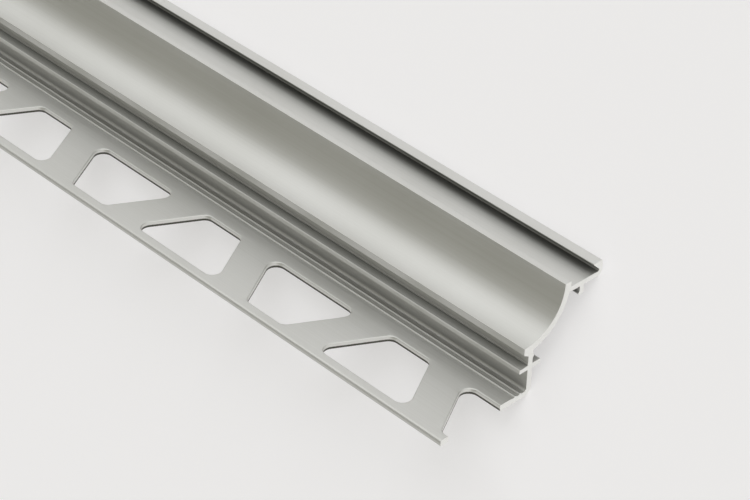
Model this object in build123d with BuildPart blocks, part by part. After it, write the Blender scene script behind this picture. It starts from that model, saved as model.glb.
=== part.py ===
from build123d import *
from math import asin, atan2, cos, degrees, floor, hypot, radians, sin
import os

os.makedirs("parts", exist_ok=True)

# Cove tile profile: one length of extruded aluminium for the inside corner of a tiled wall and floor.
# The floor tile lies over the punched leg. The wall tile stands on the cove's head, in front of the
# upstand's lip, and its adhesive fills the trough behind the head and keys in under the lip.
# A loose length doesn't stand on its leg, because its centre of mass is past the web: it lies on the
# web's root and on the edge of its flange, with the leg up, and is modelled as it lies.
# X runs along the length and Z up. The origin is under the middle of its box, on the floor.
# All sizes are in millimetres.

# Length of stock and the corner that shows
stock_length = 2500.0
cove_radius = 10.0
cove_wall = 1.45
lower_edge_height = 11.45

# Leg under the floor tile and web that stands on it
leg_reach = 23.55
leg_thickness = 1.3
web_thickness = 1.2
root_outer_radius = 1.6
root_inner_radius = 0.65
leg_edge_radius = 0.25

# Shallow channel in the leg in front of the web, with two fine grip ridges standing in it
channel_width = 3.9
channel_depth = 0.12
ridge_height = 0.16
ridge_radius = 0.22
ridge_setbacks = (1.55, 2.85)

# Nose that closes the joint above the floor tile's edge
nose_overhang = 1.2
nose_thickness = 1.5
nose_wedge = 0.7
nose_radius = 0.2

# Cross rib on the web that keys into the mortar on both sides
rib_height = 6.1
rib_root = 1.05
rib_front_reach = 2.2
rib_front_tip = 0.85
rib_back_reach = 2.1
rib_back_tip = 1.1
rib_tip_radius = 0.2

# Small bead on the wall side of the web, behind the nose
bead_height = 8.9
bead_radius = 0.75
bead_stand = 0.25

# Head of the cove, and the flange behind it with an upstand against the wall
head_width = 1.6
head_step = 1.25
head_radius = 0.2
flange_reach = 9.95
flange_thickness = 1.1
upstand_thickness = 0.82
upstand_height = 2.25
upstand_outer_radius = 1.2
upstand_inner_radius = 0.25
upstand_top_radius = 0.3

# Lip that leans in from the upstand over the flange and undercuts it, to hold the wall tile's adhesive
lip_reach = 1.8
lip_root_height = 0.5
lip_tip_radius = 0.15

# Hook that hangs under the flange
hook_setback = 4.8
hook_thickness = 1.1
hook_drop = 2.0
hook_curl = 0.35
hook_curl_height = 0.9
hook_tip_radius = 0.25

# Punched row in the leg: trapezoids that turn about, one after the other
hole_pitch = 26.76
hole_long_side = 25.4
hole_short_side = 10.4
hole_corner_radius = 2.0
edge_strip = 1.95
root_strip = 8.1
first_hole_past_end = 3.3

# Places that follow from the sizes. In the section, the first coordinate runs from the web's wall face
# towards the wall, and the second runs up from the leg's underside.
cove_centre_y = -web_thickness - nose_overhang
cove_centre_z = lower_edge_height + cove_radius
head_y = cove_centre_y + cove_radius
flange_top = cove_centre_z - head_step
flange_bottom = flange_top - flange_thickness
upstand_back = head_y + flange_reach
upstand_front = upstand_back - upstand_thickness
upstand_top = flange_top + upstand_height
lip_tip_y = upstand_front - lip_reach
lip_root_z = flange_top + lip_root_height
nose_underside = lower_edge_height - nose_thickness
hook_back = upstand_back - hook_setback
hook_front = hook_back - hook_thickness
hook_bottom = flange_bottom - hook_drop
hole_depth = leg_reach - edge_strip - root_strip


# Section of the extrusion, drawn with its leg level
with BuildSketch() as section:
    # Leg and web
    with Locations((-leg_reach, 0)):
        Rectangle(leg_reach, leg_thickness, align=(Align.MIN, Align.MIN))
    with Locations((-web_thickness, 0)):
        Rectangle(web_thickness, lower_edge_height - cove_wall / 2, align=(Align.MIN, Align.MIN))

    # Cove wall, a quarter ring
    with BuildLine():
        inner_arc = CenterArc((cove_centre_y, cove_centre_z), cove_radius, -90, 90)
        outer_arc = CenterArc((cove_centre_y, cove_centre_z), cove_radius + cove_wall, -90, 90)
        Line(inner_arc @ 0, outer_arc @ 0)
        Line(inner_arc @ 1, outer_arc @ 1)
    make_face()

    # Nose, wedged back into the web
    with BuildLine():
        Polyline(
            (cove_centre_y, lower_edge_height),
            (cove_centre_y, nose_underside),
            (-web_thickness, nose_underside - nose_wedge),
            (0, nose_underside),
            (0, lower_edge_height),
            close=True,
        )
    make_face()

    # Flange, head of the cove, upstand and its lip
    with Locations((head_y, flange_bottom)):
        Rectangle(flange_reach, flange_thickness, align=(Align.MIN, Align.MIN))
        Rectangle(head_width, flange_thickness + head_step, align=(Align.MIN, Align.MIN))
    with Locations((upstand_front, flange_bottom)):
        Rectangle(upstand_thickness, upstand_top - flange_bottom, align=(Align.MIN, Align.MIN))
    with BuildLine():
        Polyline(
            (lip_tip_y, upstand_top),
            (upstand_front, lip_root_z),
            (upstand_back, lip_root_z),
            (upstand_back, upstand_top),
            close=True,
        )
    make_face()

    # Hook under the flange, curled towards the cove
    with BuildLine():
        Polyline(
            (hook_back, flange_bottom),
            (hook_back, hook_bottom),
            (hook_front, hook_bottom),
            (hook_front - hook_curl, hook_bottom + hook_curl),
            (hook_front, hook_bottom + hook_curl_height),
            (hook_front, flange_bottom),
            close=True,
        )
    make_face()

    # Cross rib
    with BuildLine():
        Polyline(
            (-web_thickness - rib_front_reach, rib_height),
            (rib_back_reach, rib_height),
            (rib_back_reach, rib_height + rib_back_tip),
            (0, rib_height + rib_root),
            (-web_thickness, rib_height + rib_root),
            (-web_thickness - rib_front_reach, rib_height + rib_front_tip),
            close=True,
        )
    make_face()

    # Bead behind the nose
    with Locations((bead_stand - bead_radius, bead_height)):
        Circle(bead_radius)

    # Channel in front of the web and its ridges
    channel_floor = leg_thickness - channel_depth
    with Locations((-web_thickness, leg_thickness)):
        Rectangle(channel_width, channel_depth, align=(Align.MAX, Align.MAX), mode=Mode.SUBTRACT)
    with Locations(
        *((-web_thickness - setback, channel_floor + ridge_height - ridge_radius) for setback in ridge_setbacks)
    ):
        Circle(ridge_radius)

    # Rounded corners, each named by the place of its corner and its radius
    rounded_corners = [
        ((0, 0), root_outer_radius),
        ((-web_thickness, channel_floor), root_inner_radius),
        ((-leg_reach, leg_thickness), leg_edge_radius),
        ((cove_centre_y, nose_underside), nose_radius),
        ((-web_thickness - rib_front_reach, rib_height), rib_tip_radius),
        ((-web_thickness - rib_front_reach, rib_height + rib_front_tip), rib_tip_radius),
        ((rib_back_reach, rib_height), rib_tip_radius),
        ((rib_back_reach, rib_height + rib_back_tip), rib_tip_radius),
        ((head_y + head_width, cove_centre_z), head_radius),
        ((upstand_front, flange_top), upstand_inner_radius),
        ((lip_tip_y, upstand_top), lip_tip_radius),
        ((upstand_back, upstand_top), upstand_top_radius),
        ((upstand_back, flange_bottom), upstand_outer_radius),
        ((hook_back, hook_bottom), hook_tip_radius),
        ((hook_front - hook_curl, hook_bottom + hook_curl), hook_tip_radius),
    ]
    for place, radius in rounded_corners:
        fillet(section.vertices().sort_by_distance((*place, 0))[0], radius)


# How a loose length lies: the floor touches the roundings of the web's root and of the flange's edge
root_to_edge_y = upstand_back - upstand_outer_radius + root_outer_radius
root_to_edge_z = flange_bottom + upstand_outer_radius - root_outer_radius
root_to_edge = hypot(root_to_edge_y, root_to_edge_z)
lean = asin((root_outer_radius - upstand_outer_radius) / root_to_edge)
tilt = degrees(atan2(root_to_edge_z, root_to_edge_y) + lean)
lying_box = section.sketch.rotate(Axis.Z, -tilt).bounding_box()
leg_plane = Plane(
    origin=(0, -lying_box.center().X, -lying_box.min.Y),
    x_dir=(1, 0, 0),
    z_dir=(0, sin(radians(tilt)), cos(radians(tilt))),
)
section_plane = Plane(origin=leg_plane.origin, x_dir=leg_plane.y_dir, z_dir=leg_plane.x_dir)


# One punched hole, its long side towards the leg's outer edge
slant = degrees(atan2(hole_depth, (hole_long_side - hole_short_side) / 2))
with BuildSketch() as hole:
    Trapezoid(hole_long_side, hole_depth, slant)
    fillet(hole.vertices(), hole_corner_radius)


# The row of holes starts with the one that the near end was cut through
hole_y = -root_strip - hole_depth / 2
near_hole_x = stock_length / 2 + first_hole_past_end
row_length = stock_length + first_hole_past_end + hole_long_side / 2 - hole_corner_radius / 2
hole_count = floor(row_length / hole_pitch) + 1
long_side_inward = [(near_hole_x - n * hole_pitch, hole_y) for n in range(0, hole_count, 2)]
long_side_outward = [(near_hole_x - n * hole_pitch, hole_y) for n in range(1, hole_count, 2)]

with BuildPart() as cove_profile:
    with BuildSketch(section_plane):
        add(section.sketch)
    extrude(amount=stock_length / 2, both=True)
    with BuildSketch(leg_plane):
        with Locations(*long_side_inward):
            add(hole.sketch, rotation=180)
        with Locations(*long_side_outward):
            add(hole.sketch)
    extrude(amount=leg_thickness, mode=Mode.SUBTRACT)

cove_profile.part.label = "cove_profile"
export_step(cove_profile.part, "parts/cove_profile.step")
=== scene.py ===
from math import acos, asin, atan2, cos, hypot, pi, radians, sin, tan

import bmesh
import bpy
from mathutils import Matrix, Quaternion, Vector


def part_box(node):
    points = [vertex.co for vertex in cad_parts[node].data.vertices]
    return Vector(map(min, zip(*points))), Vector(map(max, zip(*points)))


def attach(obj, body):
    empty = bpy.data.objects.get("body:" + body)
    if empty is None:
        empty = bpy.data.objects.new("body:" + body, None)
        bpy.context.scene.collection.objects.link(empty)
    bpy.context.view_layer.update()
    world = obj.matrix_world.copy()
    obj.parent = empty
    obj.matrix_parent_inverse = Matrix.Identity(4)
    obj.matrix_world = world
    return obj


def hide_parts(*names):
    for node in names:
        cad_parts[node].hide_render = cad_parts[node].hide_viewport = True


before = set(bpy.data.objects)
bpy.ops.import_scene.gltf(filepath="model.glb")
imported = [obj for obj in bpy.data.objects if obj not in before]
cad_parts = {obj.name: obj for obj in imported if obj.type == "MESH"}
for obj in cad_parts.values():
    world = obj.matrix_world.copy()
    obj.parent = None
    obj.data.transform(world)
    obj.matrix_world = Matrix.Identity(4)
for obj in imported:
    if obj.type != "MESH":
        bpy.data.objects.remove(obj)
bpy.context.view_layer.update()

# The extrusion: aluminium pushed hot through one die, so leg, web, cross rib, nose, quarter-round cove,
# head, flange, hook, upstand and its lip are one piece. Its section is drawn with the leg level, in mm: the
# first coordinate runs from the web's wall face towards the wall, the second up from the leg's underside.
mm = 0.001

# Cove, and the height of its lower edge
cove_radius = 10.0
cove_wall = 1.45
lower_edge_height = 11.45

# Leg under the floor tile, and the web that stands on it
leg_reach = 23.55
leg_thickness = 1.3
web_thickness = 1.2
root_outer_radius = 1.6
root_inner_radius = 0.65

# Shallow channel in the leg in front of the web, with two fine grip ridges standing in it
channel_width = 3.9
channel_depth = 0.12
ridge_height = 0.23
ridge_radius = 0.3
ridge_setbacks = (1.55, 2.85)

# Nose that closes the joint above the floor tile's edge, wedged back into the web
nose_overhang = 1.2
nose_thickness = 1.5
nose_wedge = 0.7
nose_radius = 0.2

# Cross rib on the web that keys into the mortar on both sides
rib_height = 6.1
rib_root = 1.05
rib_front_reach = 2.2
rib_front_tip = 0.85
rib_back_reach = 2.1
rib_back_tip = 1.1
rib_tip_radius = 0.12

# Small bead on the wall side of the web, behind the nose
bead_height = 8.9
bead_radius = 0.75
bead_stand = 0.25

# Head of the cove, and the flange behind it with its upstand, whose lip leans in over the flange
head_width = 1.6
head_step = 1.25
head_radius = 0.2
flange_reach = 9.95
flange_thickness = 1.1
upstand_thickness = 0.82
upstand_height = 2.25
upstand_outer_radius = 1.2
upstand_inner_radius = 0.25
upstand_top_radius = 0.3
lip_reach = 1.8
lip_root_height = 0.5
lip_tip_radius = 0.15

# Hook that hangs under the flange, curled towards the cove
hook_setback = 4.8
hook_thickness = 1.1
hook_drop = 2.0
hook_curl = 0.35
hook_curl_height = 0.9
hook_tip_radius = 0.25

# Fine forms that the die gives: softened arrises and grooves, a narrow bevel and a fine mark along the
# leg's outer edge, and two fine raised lines, on the rib's front tip and on the web above it
arris_radius = 0.1
groove_radius = 0.08
channel_edge_radius = 0.04
edge_bevel_width = 0.32
edge_bevel_height = 0.17
die_mark_height = 0.68
die_mark_width = 0.18
die_mark_depth = 0.07
die_mark_radius = 0.01
raised_line_radius = 0.13
raised_line_stand = 0.1
web_line_height = 7.42
rib_line_setback = 0.25

# Straight steps that draw each arc
rounding_steps = 4
bead_steps = 6
cove_face_steps = 48
cove_back_steps = 32

# Places that follow from the sizes, and the angles where the cove's back leaves the web and meets the flange
cove_y = -web_thickness - nose_overhang
cove_z = lower_edge_height + cove_radius
cove_outer_radius = cove_radius + cove_wall
head_y = cove_y + cove_radius
head_back = head_y + head_width
flange_top = cove_z - head_step
flange_bottom = flange_top - flange_thickness
upstand_back = head_y + flange_reach
upstand_front = upstand_back - upstand_thickness
upstand_top = flange_top + upstand_height
lip_tip_y = upstand_front - lip_reach
lip_root_z = flange_top + lip_root_height
hook_back = upstand_back - hook_setback
hook_front = hook_back - hook_thickness
hook_bottom = flange_bottom - hook_drop
nose_underside = lower_edge_height - nose_thickness
rib_front = -web_thickness - rib_front_reach
rib_front_top = rib_height + rib_front_tip
rib_back_top = rib_height + rib_back_tip
rib_root_top = rib_height + rib_root
channel_floor = leg_thickness - channel_depth
channel_front = -web_thickness - channel_width
cove_leaves_web = -acos(-cove_y / cove_outer_radius)
cove_meets_flange = -asin((cove_z - flange_bottom) / cove_outer_radius)


def arc(centre, radius, start, end, steps):
    """Points of an arc, from one angle to another."""
    angles = [start + (end - start) * i / steps for i in range(steps + 1)]
    return [(centre[0] + radius * cos(a), centre[1] + radius * sin(a)) for a in angles]


def bead(y, z, facing, radius, stand):
    """Points of a rounded bead that stands out of a face. facing is the way the face looks, as an angle."""
    half_angle = acos((radius - stand) / radius)
    centre = (y - (radius - stand) * cos(facing), z - (radius - stand) * sin(facing))
    return arc(centre, radius, facing - half_angle, facing + half_angle, bead_steps)


def rounding(before, corner, after, radius, steps=rounding_steps):
    """Points of the arc that rounds a corner between the places before and after it."""
    corner = Vector(corner)
    back, ahead = (Vector(before) - corner).normalized(), (Vector(after) - corner).normalized()
    half = acos(back.dot(ahead)) / 2
    centre = corner + (back + ahead).normalized() * radius / sin(half)
    first, last = (corner + side * radius / tan(half) - centre for side in (back, ahead))
    start = atan2(first.y, first.x)
    sweep = (atan2(last.y, last.x) - start + pi) % (2 * pi) - pi
    return arc(centre, radius, start, start + sweep, steps)


def outline(*stretches):
    """A chain of points. Each stretch is a corner (y, z, radius), or the points of an arc."""
    drawn = [[stretch[:2]] if isinstance(stretch, tuple) else stretch for stretch in stretches]
    for i in range(1, len(stretches) - 1):
        if isinstance(stretches[i], tuple):
            before, after = drawn[i - 1][-1], drawn[i + 1][0]
            drawn[i] = rounding(before, stretches[i][:2], after, stretches[i][2])
    return [point for stretch in drawn for point in stretch]


# The row of holes, punched through the leg from above: trapezoids that turn about, one after the other. The
# punch draws each edge down into a rolled lip, shears a bright wall, breaks the last third away rough and
# leaves a fine burr underneath.
hole_pitch = 26.76
hole_long_side = 25.4
hole_short_side = 10.4
hole_corner_radius = 2.0
hole_corner_steps = 8
edge_strip = 1.95
root_strip = 8.1
first_hole_past_end = 3.3
rolled_width = 0.26
rolled_depth = 0.15
rolled_steps = 5
break_height = 0.5
break_width = 0.07
burr_height = 0.05
burr_width = 0.12

# The band of the leg that is drawn hole by hole reaches past the holes by this margin on both sides
band_margin = 0.9
band_inner = -root_strip + band_margin
band_outer = -leg_reach + edge_strip - band_margin

# A slanted side leans along the length by its slant, for each millimetre across the leg
hole_depth = leg_reach - edge_strip - root_strip
hole_y = -root_strip - hole_depth / 2
hole_middle_half = (hole_long_side + hole_short_side) / 4
slant = (hole_long_side - hole_short_side) / 2 / hole_depth


def half_cell(turn, y):
    """Half the length of one hole's own stretch of the leg, which ends halfway across the slanted bars."""
    return hole_pitch / 2 + turn * slant * (y - hole_y)


def hole_loop(turn, middle_x, margin):
    """Points round a hole, grown by a margin. turn is 1 where the long side lies towards the web."""
    corners = []
    for side_x, side_y in ((1, 1), (-1, 1), (-1, -1), (1, -1)):
        y = side_y * (hole_depth / 2 + margin)
        half = hole_middle_half + turn * slant * y + margin * hypot(1, slant)
        corners.append((middle_x + side_x * half, hole_y + y))
    neighbours = zip(corners[-1:] + corners[:-1], corners, corners[1:] + corners[:1])
    radius = hole_corner_radius + margin
    return [point for three in neighbours for point in rounding(*three, radius, hole_corner_steps)]


# One repeat of the stock: two holes that point opposite ways, and the stretch of section beside them. Die
# and press make the same stretch over and over, so it is drawn once. The faces that the punch sheared or
# broke are marked, because they have a finish of their own.
holes_per_repeat = 2
repeat = bmesh.new()
sheared = repeat.faces.layers.int.new("sheared")


def skin(rows, mark=0):
    """Faces between rows of places."""
    grid = [[repeat.verts.new(place) for place in row] for row in rows]
    for near, far in zip(grid, grid[1:]):
        for i in range(len(near) - 1):
            repeat.faces.new((near[i], near[i + 1], far[i + 1], far[i]))[sheared] = mark


def flat(corners, loop, z):
    """Flat faces between the four corners of a stretch of the leg and the loop round its hole."""
    rim = [repeat.verts.new((*place, z)) for place in loop]
    posts = [repeat.verts.new((*place, z)) for place in corners]
    per_corner = len(loop) // 4
    for i, post in enumerate(posts):
        own = rim[i * per_corner:(i + 1) * per_corner]
        for one, other in zip(own, own[1:]):
            repeat.faces.new((post, one, other))
        repeat.faces.new((post, own[-1], rim[(i + 1) * per_corner % len(rim)], posts[(i + 1) % 4]))


# A hole's edge from the leg's top to its underside, as margins round the hole and heights
rolled_lip = [
    (rolled_width * (1 - sin(angle)), leg_thickness - rolled_depth * (1 - cos(angle)))
    for angle in (pi / 2 * step / rolled_steps for step in range(rolled_steps + 1))
]
wall = [rolled_lip[-1], (0, break_height), (break_width, 0)]
burr = [wall[-1], (break_width + burr_width / 3, -burr_height), (break_width + burr_width, 0)]
for turn, middle_x in ((1, 0), (-1, -hole_pitch)):
    for levels, mark in ((rolled_lip, 0), (wall, 1), (burr, 1)):
        loops = [[(*place, z) for place in hole_loop(turn, middle_x, margin)] for margin, z in levels]
        skin([loop + loop[:1] for loop in loops], mark)
    corners = [
        (middle_x + side_x * half_cell(turn, y), y)
        for side_x, y in ((1, band_inner), (-1, band_inner), (-1, band_outer), (1, band_outer))
    ]
    flat(corners, hole_loop(turn, middle_x, rolled_lip[0][0]), leg_thickness)
    flat(corners, hole_loop(turn, middle_x, burr[-1][0]), 0)

# The section runs on beside the punched band, from its inner line round the web and cove and back, and from
# its outer line round the leg's edge
root_outline = outline(
    (band_inner, 0, 0),
    (0, 0, root_outer_radius),
    (0, rib_height, groove_radius),
    (rib_back_reach, rib_height, rib_tip_radius),
    (rib_back_reach, rib_back_top, rib_tip_radius),
    (0, rib_root_top, groove_radius),
    bead(0, bead_height, 0, bead_radius, bead_stand),
    arc((cove_y, cove_z), cove_outer_radius, cove_leaves_web, cove_meets_flange, cove_back_steps),
    (hook_front, flange_bottom, groove_radius),
    (hook_front, hook_bottom + hook_curl_height, groove_radius),
    (hook_front - hook_curl, hook_bottom + hook_curl, hook_tip_radius),
    (hook_front, hook_bottom, groove_radius),
    (hook_back, hook_bottom, hook_tip_radius),
    (hook_back, flange_bottom, groove_radius),
    (upstand_back, flange_bottom, upstand_outer_radius),
    (upstand_back, upstand_top, upstand_top_radius),
    (lip_tip_y, upstand_top, lip_tip_radius),
    (upstand_front, lip_root_z, groove_radius),
    (upstand_front, flange_top, upstand_inner_radius),
    (head_back, flange_top, groove_radius),
    (head_back, cove_z, head_radius),
    (head_y, cove_z, arris_radius),
    arc((cove_y, cove_z), cove_radius, 0, -pi / 2, cove_face_steps)[1:-1],
    (cove_y, lower_edge_height, arris_radius),
    (cove_y, nose_underside, nose_radius),
    (-web_thickness, nose_underside - nose_wedge, groove_radius),
    bead(-web_thickness, web_line_height, pi, raised_line_radius, raised_line_stand),
    (-web_thickness, rib_root_top, groove_radius),
    bead(rib_front + rib_line_setback, rib_front_top, pi / 2, raised_line_radius, raised_line_stand),
    (rib_front, rib_front_top, rib_tip_radius),
    (rib_front, rib_height, rib_tip_radius),
    (-web_thickness, rib_height, groove_radius),
    (-web_thickness, channel_floor, root_inner_radius),
    *(
        bead(-web_thickness - setback, channel_floor, pi / 2, ridge_radius, ridge_height)
        for setback in ridge_setbacks
    ),
    (channel_front, channel_floor, channel_edge_radius),
    (channel_front, leg_thickness, channel_edge_radius),
    (band_inner, leg_thickness, 0),
)
edge_outline = outline(
    (band_outer, leg_thickness, 0),
    (-leg_reach + edge_bevel_width, leg_thickness, arris_radius),
    (-leg_reach, leg_thickness - edge_bevel_height, groove_radius),
    (-leg_reach, die_mark_height + die_mark_width, die_mark_radius),
    (-leg_reach + die_mark_depth, die_mark_height + die_mark_width / 2, die_mark_radius),
    (-leg_reach, die_mark_height, die_mark_radius),
    (-leg_reach, 0, arris_radius),
    (band_outer, 0, 0),
)
for points, line in ((root_outline, band_inner), (edge_outline, band_outer)):
    near_x = half_cell(1, line)
    rows = (near_x, -near_x, near_x - holes_per_repeat * hole_pitch)
    skin([[(x, y, z) for y, z in points] for x in rows])

repeat_mesh = bpy.data.meshes.new("one_repeat")
repeat.to_mesh(repeat_mesh)
repeat.free()

# Satin anodised aluminium, the finish of the extruded faces: the die leaves fine lines along the length,
# and etching before the oxide film is grown mats them, so the metal shines softly across the length and
# shows the lines only from close by. Lines and etch are drawn coarser than real, so that they show.
die_line_width = 0.3 * mm
die_line_length = 70 * mm
etch_grain = 0.12 * mm
etch_share = 0.3
relief_height = 0.012 * mm
smoothest = 0.42
roughest = 0.5
tone_patch = 25 * mm

# A noise stays mostly between the first two values, and the sum of two noises between the others
noise_low = 0.3
noise_high = 0.7
sum_low = 0.7
sum_high = 1.3

# The oxide film scatters a little of the light, so the face isn't quite all metal
oxide_metallic = 0.85

# Painted shade: where the metal sees mostly itself within this reach, as between web and leg, its colour is
# darkened towards a near-black with a green tinge. From this share of open surroundings upwards it keeps
# its full colour.
corner_reach = 5 * mm
open_share = 0.79


def linear(colour):
    """Linear RGBA of an sRGB hex colour."""
    parts = [int(colour[i:i + 2], 16) / 255 for i in (1, 3, 5)]
    return (*(part / 12.92 if part < 0.04045 else ((part + 0.055) / 1.055) ** 2.4 for part in parts), 1)


def add(tree, kind, inputs=None, **settings):
    """Adds a node with its settings, and with a value or a link for each socket, by its name or number."""
    node = tree.nodes.new(kind)
    for name, value in settings.items():
        setattr(node, name, value)
    for socket, value in (inputs or {}).items():
        if isinstance(value, bpy.types.NodeSocket):
            tree.links.new(value, node.inputs[socket])
        else:
            node.inputs[socket].default_value = value
    return node


def new_material(name):
    """A material without nodes yet, and its node tree."""
    material = bpy.data.materials.new(name)
    material.use_nodes = True
    material.node_tree.nodes.clear()
    return material, material.node_tree


# Sockets 6 and 7 of a Mix node are its two colours. A Map Range reads from socket 1 to 2 and gives 3 to 4.
anodised, tree = new_material("satin_anodised_aluminium")
place = add(tree, "ShaderNodeTexCoord").outputs["Object"]
stretched = add(tree, "ShaderNodeMapping", {
    "Vector": place, "Scale": (1 / die_line_length, 1 / die_line_width, 1 / die_line_width),
})
lines = add(tree, "ShaderNodeTexNoise", {"Vector": stretched.outputs[0], "Scale": 1, "Detail": 2})
grain = add(tree, "ShaderNodeTexNoise", {"Vector": place, "Scale": 1 / etch_grain, "Detail": 1})
patches = add(tree, "ShaderNodeTexNoise", {"Vector": place, "Scale": 1 / tone_patch, "Detail": 2})
tone = add(tree, "ShaderNodeMath", {0: lines.outputs[0], 1: patches.outputs[0]}, operation="ADD")
tone_share = add(tree, "ShaderNodeMapRange", {0: tone.outputs[0], 1: sum_low, 2: sum_high})
colour = add(tree, "ShaderNodeMix", {
    0: tone_share.outputs[0], 6: linear("#DADAD7"), 7: linear("#E1E1DF"),
}, data_type="RGBA")
# Painted shade in corners and hollows: the colour fades to near-black where the surroundings close in
corner = add(tree, "ShaderNodeAmbientOcclusion", {"Distance": corner_reach}, only_local=True, samples=16)
unshaded_share = add(tree, "ShaderNodeMapRange", {0: corner.outputs[1], 1: 0, 2: open_share})
shaded = add(tree, "ShaderNodeMix", {
    0: unshaded_share.outputs[0], 6: linear("#050805"), 7: colour.outputs[2],
}, data_type="RGBA")
rough = add(tree, "ShaderNodeMapRange", {
    0: lines.outputs[0], 1: noise_low, 2: noise_high, 3: smoothest, 4: roughest,
})
relief = add(tree, "ShaderNodeMath", {
    0: grain.outputs[0], 1: etch_share, 2: lines.outputs[0],
}, operation="MULTIPLY_ADD")
bump = add(tree, "ShaderNodeBump", {
    "Strength": 0.25, "Distance": relief_height, "Height": relief.outputs[0],
})
metal = add(tree, "ShaderNodeBsdfPrincipled", {
    "Base Color": shaded.outputs[2], "Metallic": oxide_metallic, "Roughness": rough.outputs[0],
    "Normal": bump.outputs[0],
})
add(tree, "ShaderNodeOutputMaterial", {"Surface": metal.outputs[0]})

# How a loose length lies: nothing fixes it, and its centre of mass is past the web, so it tips off its leg.
# It comes to rest on the roundings of the web's root and of the flange's edge, with the leg up.
root_to_edge_y = upstand_back - upstand_outer_radius + root_outer_radius
root_to_edge_z = flange_bottom + upstand_outer_radius - root_outer_radius
lean = asin((root_outer_radius - upstand_outer_radius) / hypot(root_to_edge_y, root_to_edge_z))
tilt = atan2(root_to_edge_z, root_to_edge_y) + lean

# The leg's outer edge is at the low side of the part's box, and the root's rounding touches the floor
low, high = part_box("cove_profile")
stock_length = (high.x - low.x) / mm
section_y = low.y / mm + leg_reach * cos(tilt)
section_z = root_outer_radius * (1 - sin(tilt) - cos(tilt))
lying = (
    Matrix.Scale(mm, 4)
    @ Matrix.Translation((0, section_y, section_z))
    @ Matrix.Rotation(-tilt, 4, "X")
)

# Sheared aluminium on the walls of the holes, left bare by the punch: brighter than the etched faces, with
# fine upright scores that are drawn coarser than real, so that they show, and a dull torn strip along the
# bottom where the slug broke away. The strip is painted darker than torn metal is, as painted shade at the
# foot of the wall.
score_width = 0.15 * mm
score_height = 3 * mm
tear_grain = 0.2 * mm
sheared_relief = 0.02 * mm
bright_roughness = 0.42
torn_roughness = 0.65

# The torn strip and the painted shade on it fade out between these heights above the leg's underside, along
# a line that wanders
tear_wander = 0.16 * mm
tear_end = (break_height + 0.03) * mm
bright_start = (break_height + 0.13) * mm

sheared_edge, tree = new_material("punched_bright_edge")
place = add(tree, "ShaderNodeTexCoord").outputs["Object"]
level = add(tree, "ShaderNodeMapping", {
    "Vector": place,
    "Location": -(Matrix.Rotation(tilt, 3, "X") @ Vector((0, section_y, section_z))) * mm,
    "Rotation": (tilt, 0, 0),
})
stretched = add(tree, "ShaderNodeMapping", {
    "Vector": level.outputs[0], "Scale": (1 / score_width, 1 / score_width, 1 / score_height),
})
scores = add(tree, "ShaderNodeTexNoise", {"Vector": stretched.outputs[0], "Scale": 1, "Detail": 2})
tears = add(tree, "ShaderNodeTexNoise", {"Vector": place, "Scale": 1 / tear_grain, "Detail": 3})
height = add(tree, "ShaderNodeSeparateXYZ", {0: level.outputs[0]}).outputs[2]
ragged = add(tree, "ShaderNodeMath", {
    0: tears.outputs[0], 1: tear_wander, 2: height,
}, operation="MULTIPLY_ADD")
# Dull torn metal, painted darker still as shade at the foot of the wall
torn_and_shaded = add(tree, "ShaderNodeMapRange", {0: ragged.outputs[0], 1: bright_start, 2: tear_end})
colour = add(tree, "ShaderNodeMix", {
    0: torn_and_shaded.outputs[0], 6: linear("#E2E2DE"), 7: linear("#64635D"),
}, data_type="RGBA")
rough = add(tree, "ShaderNodeMapRange", {0: torn_and_shaded.outputs[0], 3: bright_roughness, 4: torn_roughness})
relief = add(tree, "ShaderNodeMix", {0: torn_and_shaded.outputs[0], 2: scores.outputs[0], 3: tears.outputs[0]})
bump = add(tree, "ShaderNodeBump", {
    "Strength": 0.3, "Distance": sheared_relief, "Height": relief.outputs[0],
})
metal = add(tree, "ShaderNodeBsdfPrincipled", {
    "Base Color": colour.outputs[2], "Metallic": 1, "Roughness": rough.outputs[0],
    "Normal": bump.outputs[0],
})
add(tree, "ShaderNodeOutputMaterial", {"Surface": metal.outputs[0]})

# The punched length: repeats laid end to end from just past the near end, in millimetres. Two of them are
# there for the saw to cut through, one at each end. All are joined into one skin of anodised metal, apart
# from the faces that the punch left bare.
repeats_sawn_through = 2
weld_distance = 0.004
tree = bpy.data.node_groups.new("punched_length", "GeometryNodeTree")
tree.interface.new_socket("Geometry", in_out="OUTPUT", socket_type="NodeSocketGeometry")
whole_repeats = int(stock_length / (holes_per_repeat * hole_pitch))
wanted = {
    "Repeat": ("NodeSocketGeometry", None),
    "Repeats": ("NodeSocketInt", whole_repeats + repeats_sawn_through),
    "First hole": ("NodeSocketFloat", stock_length / 2 + first_hole_past_end),
    "Hole pitch": ("NodeSocketFloat", hole_pitch),
    "Weld distance": ("NodeSocketFloat", weld_distance),
    "Metal": ("NodeSocketMaterial", anodised),
    "Punched edge": ("NodeSocketMaterial", sheared_edge),
}
sockets = {
    name: tree.interface.new_socket(name, in_out="INPUT", socket_type=kind)
    for name, (kind, value) in wanted.items()
}
given = add(tree, "NodeGroupInput").outputs
start = add(tree, "ShaderNodeCombineXYZ", {0: given["First hole"]})
step = add(tree, "ShaderNodeMath", {0: given["Hole pitch"], 1: -holes_per_repeat}, operation="MULTIPLY")
offset = add(tree, "ShaderNodeCombineXYZ", {0: step.outputs[0]})
line = add(tree, "GeometryNodeMeshLine", {
    "Count": given["Repeats"], "Start Location": start.outputs[0], "Offset": offset.outputs[0],
})
copies = add(tree, "GeometryNodeInstanceOnPoints", {"Points": line.outputs[0], "Instance": given["Repeat"]})
real = add(tree, "GeometryNodeRealizeInstances", {0: copies.outputs[0]})
welded = add(tree, "GeometryNodeMergeByDistance", {
    "Geometry": real.outputs[0], "Distance": given["Weld distance"],
})
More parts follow.
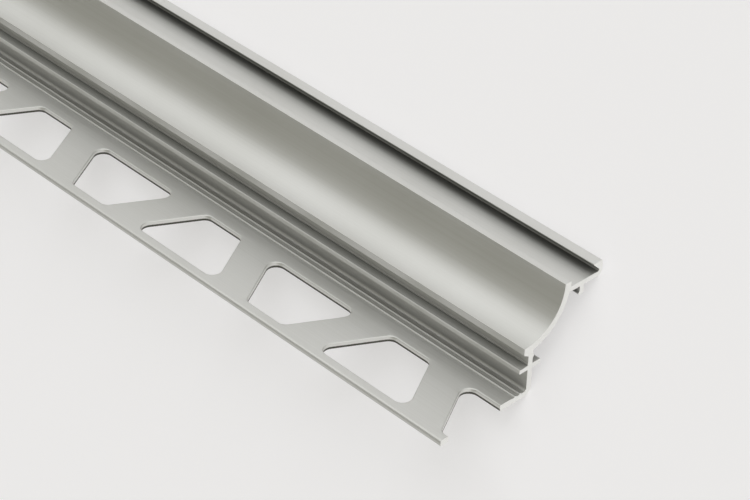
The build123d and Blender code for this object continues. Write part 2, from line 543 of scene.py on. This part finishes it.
faced = add(tree, "GeometryNodeSetMaterial", {"Geometry": welded.outputs[0], "Material": given["Metal"]})
mark = add(tree, "GeometryNodeInputNamedAttribute", {"Name": "sheared"}, data_type="INT")
edged = add(tree, "GeometryNodeSetMaterial", {
    "Geometry": faced.outputs[0], "Selection": mark.outputs[0], "Material": given["Punched edge"],
})
add(tree, "NodeGroupOutput", {0: edged.outputs[0]})

profile = bpy.data.objects.new("punched_cove_extrusion", repeat_mesh)
bpy.context.scene.collection.objects.link(profile)
punched = profile.modifiers.new("punched_length", "NODES")
punched.node_group = tree
for name, (kind, value) in wanted.items():
    if value is not None:
        punched[sockets[name].identifier] = value


def finished(piece):
    """The piece's evaluated mesh, in place of its mesh and modifiers."""
    evaluated = piece.evaluated_get(bpy.context.evaluated_depsgraph_get())
    made = bpy.data.meshes.new_from_object(evaluated)
    piece.modifiers.clear()
    piece.data = made


finished(profile)

# Sawn ends: the stock is cut square by a carbide disc, which goes through a hole at the near end. It leaves
# a bright bare face with faint curved marks round the disc's middle and a fine grit, both drawn coarser
# than real, so that they show.
blade_radius = 150 * mm
blade_middle = (0, 0.6 * blade_radius, 0.8 * blade_radius)
saw_mark_spacing = 0.45 * mm
saw_grain = 0.1 * mm
grit_share = 0.6
sawn_relief = 0.02 * mm
sawn_roughness = 0.55

# At a scale of 1, a wave texture's rings are this far apart
ring_spacing = 2 * pi / 20

sawn, tree = new_material("sawn_bare_aluminium")
place = add(tree, "ShaderNodeTexCoord").outputs["Object"]
from_blade = add(tree, "ShaderNodeMapping", {"Vector": place, "Location": blade_middle})
marks = add(tree, "ShaderNodeTexWave", {
    "Vector": from_blade.outputs[0], "Scale": ring_spacing / saw_mark_spacing, "Distortion": 1.5,
    "Detail": 2, "Detail Scale": 0.6,
}, wave_type="RINGS", rings_direction="X")
grit = add(tree, "ShaderNodeTexNoise", {"Vector": place, "Scale": 1 / saw_grain, "Detail": 2})
relief = add(tree, "ShaderNodeMath", {
    0: grit.outputs[0], 1: grit_share, 2: marks.outputs[1],
}, operation="MULTIPLY_ADD")
bump = add(tree, "ShaderNodeBump", {"Strength": 0.25, "Distance": sawn_relief, "Height": relief.outputs[0]})
colour = add(tree, "ShaderNodeMix", {
    0: relief.outputs[0], 6: linear("#EFEFEC"), 7: linear("#F9F9F6"),
}, data_type="RGBA")
metal = add(tree, "ShaderNodeBsdfPrincipled", {
    "Base Color": colour.outputs[2], "Metallic": 1, "Roughness": sawn_roughness, "Normal": bump.outputs[0],
})
add(tree, "ShaderNodeOutputMaterial", {"Surface": metal.outputs[0]})

# Each cut is open at first. Its rim, the edges within reach of the saw's plane, is filled by the sawn face.
cut_tolerance = 0.001
rim_reach = 0.01
profile.data.materials.append(sawn)
cut = bmesh.new()
cut.from_mesh(profile.data)
for end in (1, -1):
    everything = [*cut.verts, *cut.edges, *cut.faces]
    plane_x = end * stock_length / 2
    bmesh.ops.bisect_plane(
        cut,
        geom=everything,
        dist=cut_tolerance,
        plane_co=(plane_x, 0, 0),
        plane_no=(end, 0, 0),
        clear_outer=True,
    )
    rim = [edge for edge in cut.edges if edge.is_boundary and abs(edge.verts[0].co.x - plane_x) < rim_reach]
    caps = bmesh.ops.holes_fill(cut, edges=rim, sides=0)["faces"]
    for face in caps:
        face.material_index = profile.data.materials.find(sawn.name)
    bmesh.ops.triangulate(cut, faces=caps)

# The length is laid as it rests, in metres. Rounded forms are shaded smooth, edges past the sharp angle
# stay crisp, and large faces lead the shading of the small roundings beside them.
sharp_angle = radians(38)
large_face_weight = 80
bmesh.ops.transform(cut, matrix=lying, verts=cut.verts)
bmesh.ops.recalc_face_normals(cut, faces=cut.faces)
cut.to_mesh(profile.data)
cut.free()
profile.data.shade_smooth()
profile.data.set_sharp_from_angle(angle=sharp_angle)
evened = profile.modifiers.new("even_shading", "WEIGHTED_NORMAL")
evened.keep_sharp = True
evened.weight = large_face_weight
finished(profile)
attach(profile, "root")
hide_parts("cove_profile")

# The floor, a plain pale matt sheet, measured in metres, that takes the part's soft shadow. It throws light
# back onto the part as such a sheet does, while the eye and the metal see it paler. Half of what they see is
# an even glow, so that the shadow on it stays light.
floor_radius = 60
rim_segments = 96
glow_share = 0.5
far_tone = linear("#EAE9E7")

# Lamps and room light a level face to about seven tenths of its colour, so the seen tone has this gain
seen_gain = 1.191


def seen_by_eye(tree):
    """1 for what the eye sees, also by way of metal or glass, and 0 for the light that reaches the part."""
    path = add(tree, "ShaderNodeLightPath").outputs
    seen = path["Is Camera Ray"]
    for ray in ("Is Glossy Ray", "Is Transmission Ray"):
        seen = add(tree, "ShaderNodeMath", {0: seen, 1: path[ray]}, operation="MAXIMUM").outputs[0]
    return seen


def staged(name, shape, material):
    """An object of the stage, made of a drawn shape and one material."""
    mesh = bpy.data.meshes.new(name)
    shape.to_mesh(mesh)
    shape.free()
    mesh.materials.append(material)
    made = bpy.data.objects.new(name, mesh)
    bpy.context.scene.collection.objects.link(made)
    return made


pale, tree = new_material("pale_matt_floor")
seen = seen_by_eye(tree)
plain = add(tree, "ShaderNodeBsdfDiffuse", {"Color": linear("#E6E5E3")})
seen_tone = (*(seen_gain * part for part in linear("#FBFAFF")[:3]), 1)
bright = add(tree, "ShaderNodeBsdfDiffuse", {"Color": seen_tone})
glow = add(tree, "ShaderNodeEmission", {"Color": far_tone, "Strength": 1})
lifted = add(tree, "ShaderNodeMixShader", {0: glow_share, 1: bright.outputs[0], 2: glow.outputs[0]})
shown = add(tree, "ShaderNodeMixShader", {0: seen, 1: plain.outputs[0], 2: lifted.outputs[0]})
add(tree, "ShaderNodeOutputMaterial", {"Surface": shown.outputs[0]})
disc = bmesh.new()
bmesh.ops.create_circle(disc, cap_ends=True, segments=rim_segments, radius=floor_radius)
floor = staged("floor", disc, pale)

# The backdrop, a plain pale screen that stands round the floor's far edge, in the tone that the floor has
# there. Only the eye and the metal see it, and it lets the light through, so that low views end on a pale
# ground.
screen_height = 9
pale_screen, tree = new_material("pale_backdrop")
seen = seen_by_eye(tree)
clear = add(tree, "ShaderNodeBsdfTransparent")
glow = add(tree, "ShaderNodeEmission", {"Color": far_tone, "Strength": 1})
shown = add(tree, "ShaderNodeMixShader", {0: seen, 1: clear.outputs[0], 2: glow.outputs[0]})
add(tree, "ShaderNodeOutputMaterial", {"Surface": shown.outputs[0]})
screen = bmesh.new()
bmesh.ops.create_circle(screen, segments=rim_segments, radius=floor_radius)
raised = bmesh.ops.extrude_edge_only(screen, edges=screen.edges[:])["geom"]
top = [item for item in raised if isinstance(item, bmesh.types.BMVert)]
bmesh.ops.translate(screen, vec=(0, 0, screen_height), verts=top)
backdrop = staged("backdrop", screen, pale_screen)

# Light: a broad soft lamp over the wall side, a broader and stronger one above the near end, and a dim grey
# room all round. Each lamp has the way towards it, its spread in degrees, its strength and its tint.
sources = {
    "key": ((-0.33, 0.68, 0.65), 66, 0.82, "#FBFCFF"),
    "front": ((0.75, 0.12, 0.65), 110, 1.36, "#FFFFFF"),
}
for name, (towards, spread, strength, tint) in sources.items():
    light = bpy.data.lights.new(name, "SUN")
    light.angle = radians(spread)
    light.energy = strength
    light.color = linear(tint)[:3]
    lamp = bpy.data.objects.new(name, light)
    lamp.rotation_mode = "QUATERNION"
    lamp.rotation_quaternion = Vector(towards).to_track_quat("Z", "Y")
    bpy.context.scene.collection.objects.link(lamp)
world = bpy.data.worlds.new("dim_room")
world.use_nodes = True
world.node_tree.nodes.clear()
room = add(world.node_tree, "ShaderNodeBackground", {"Color": linear("#8E8D83"), "Strength": 1})
add(world.node_tree, "ShaderNodeOutputWorld", {"Surface": room.outputs[0]})
bpy.context.scene.world = world
bpy.context.scene.view_settings.view_transform = "Standard"

# The camera stands beyond the near end, above the part, and looks along it as the photograph does. The part
# lies here as it comes to rest, with its leg up, so the camera is rolled to see it at the same angle.
camera_place = Vector((1.53061, 0.01964, 0.46210))
view_middle = Vector((1.20320, 0.00103, 0))
camera_roll = radians(-61.655)
camera = bpy.data.objects.new("camera", bpy.data.cameras.new("camera"))
camera.data.sensor_width = 36
camera.data.lens = 139.0
camera.data.clip_start = 0.01
camera.data.clip_end = 200
camera.location = camera_place
camera.rotation_mode = "QUATERNION"
looking = (view_middle - camera_place).to_track_quat("-Z", "Y")
camera.rotation_quaternion = looking @ Quaternion((0, 0, 1), camera_roll)
bpy.context.scene.collection.objects.link(camera)
bpy.context.scene.camera = camera
